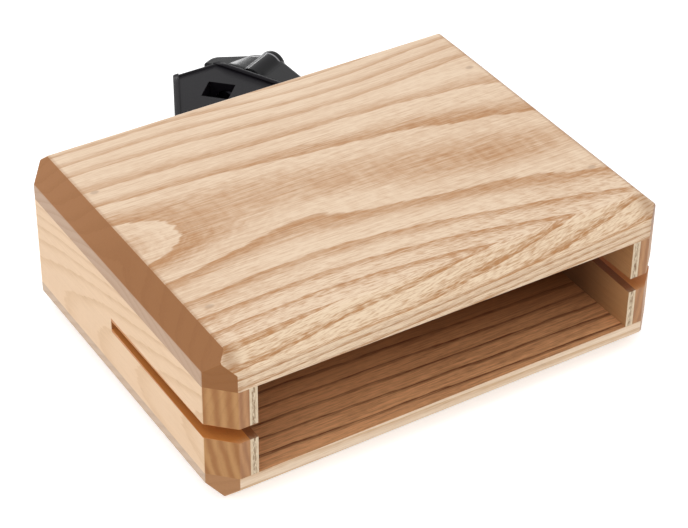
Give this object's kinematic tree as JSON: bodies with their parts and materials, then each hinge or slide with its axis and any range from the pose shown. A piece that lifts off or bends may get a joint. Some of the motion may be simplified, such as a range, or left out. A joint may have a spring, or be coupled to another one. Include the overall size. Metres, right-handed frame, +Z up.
{
  "type": "woodblock",
  "caption": "Wooden slit-box woodblock, open at the front with wedge-shaped side slots, and a plastic rod holder with a wing screw at the back.",
  "frame": {"origin": "centre of the wooden block's bottom face", "axes": "+X along the block's width, +Y from the open front to the holder at the back, +Z up"},
  "size_m": [0.18, 0.1916, 0.0615],
  "materials": {
    "ash_top": "satin lacquer",
    "ash_bottom": "satin lacquer",
    "ash_wall": "satin lacquer",
    "plywood": "raw",
    "holder_plastic": "satin",
    "wing_plastic": "gloss",
    "screw_steel": "zinc plated",
    "pad_steel": "plain",
    "insert_brass": "plain"
  },
  "bodies": {
    "block": {"top_plate": "ash_top", "bottom_plate": "ash_bottom", "left_wall": "ash_wall", "right_wall": "ash_wall", "back_wall": "ash_wall", "left_liner": "plywood", "right_liner": "plywood", "holder_body": "holder_plastic", "holder_screws": "screw_steel", "thread_insert": "insert_brass"},
    "pad": {"pressure_pad": "pad_steel"},
    "wing_screw": {"clamp_screw": "screw_steel", "wing_head": "wing_plastic", "hub_cap": "wing_plastic"}
  },
  "joints": [
    {"name": "clamp_travel", "type": "slide", "parent": "block", "child": "pad", "axis": [-0.8949, -0.4462, 0], "range_m": [0, 0.005]},
    {"name": "wing_turn", "type": "hinge", "parent": "pad", "child": "wing_screw", "pos_m": [0, 0.0898, 0.0413], "axis": [-0.8949, -0.4462, 0], "range_deg": [0, 1440]}
  ],
  "couplings": [
    {"joint": "clamp_travel", "follows": "wing_turn", "m_per_rad": 0.00019894}
  ]
}
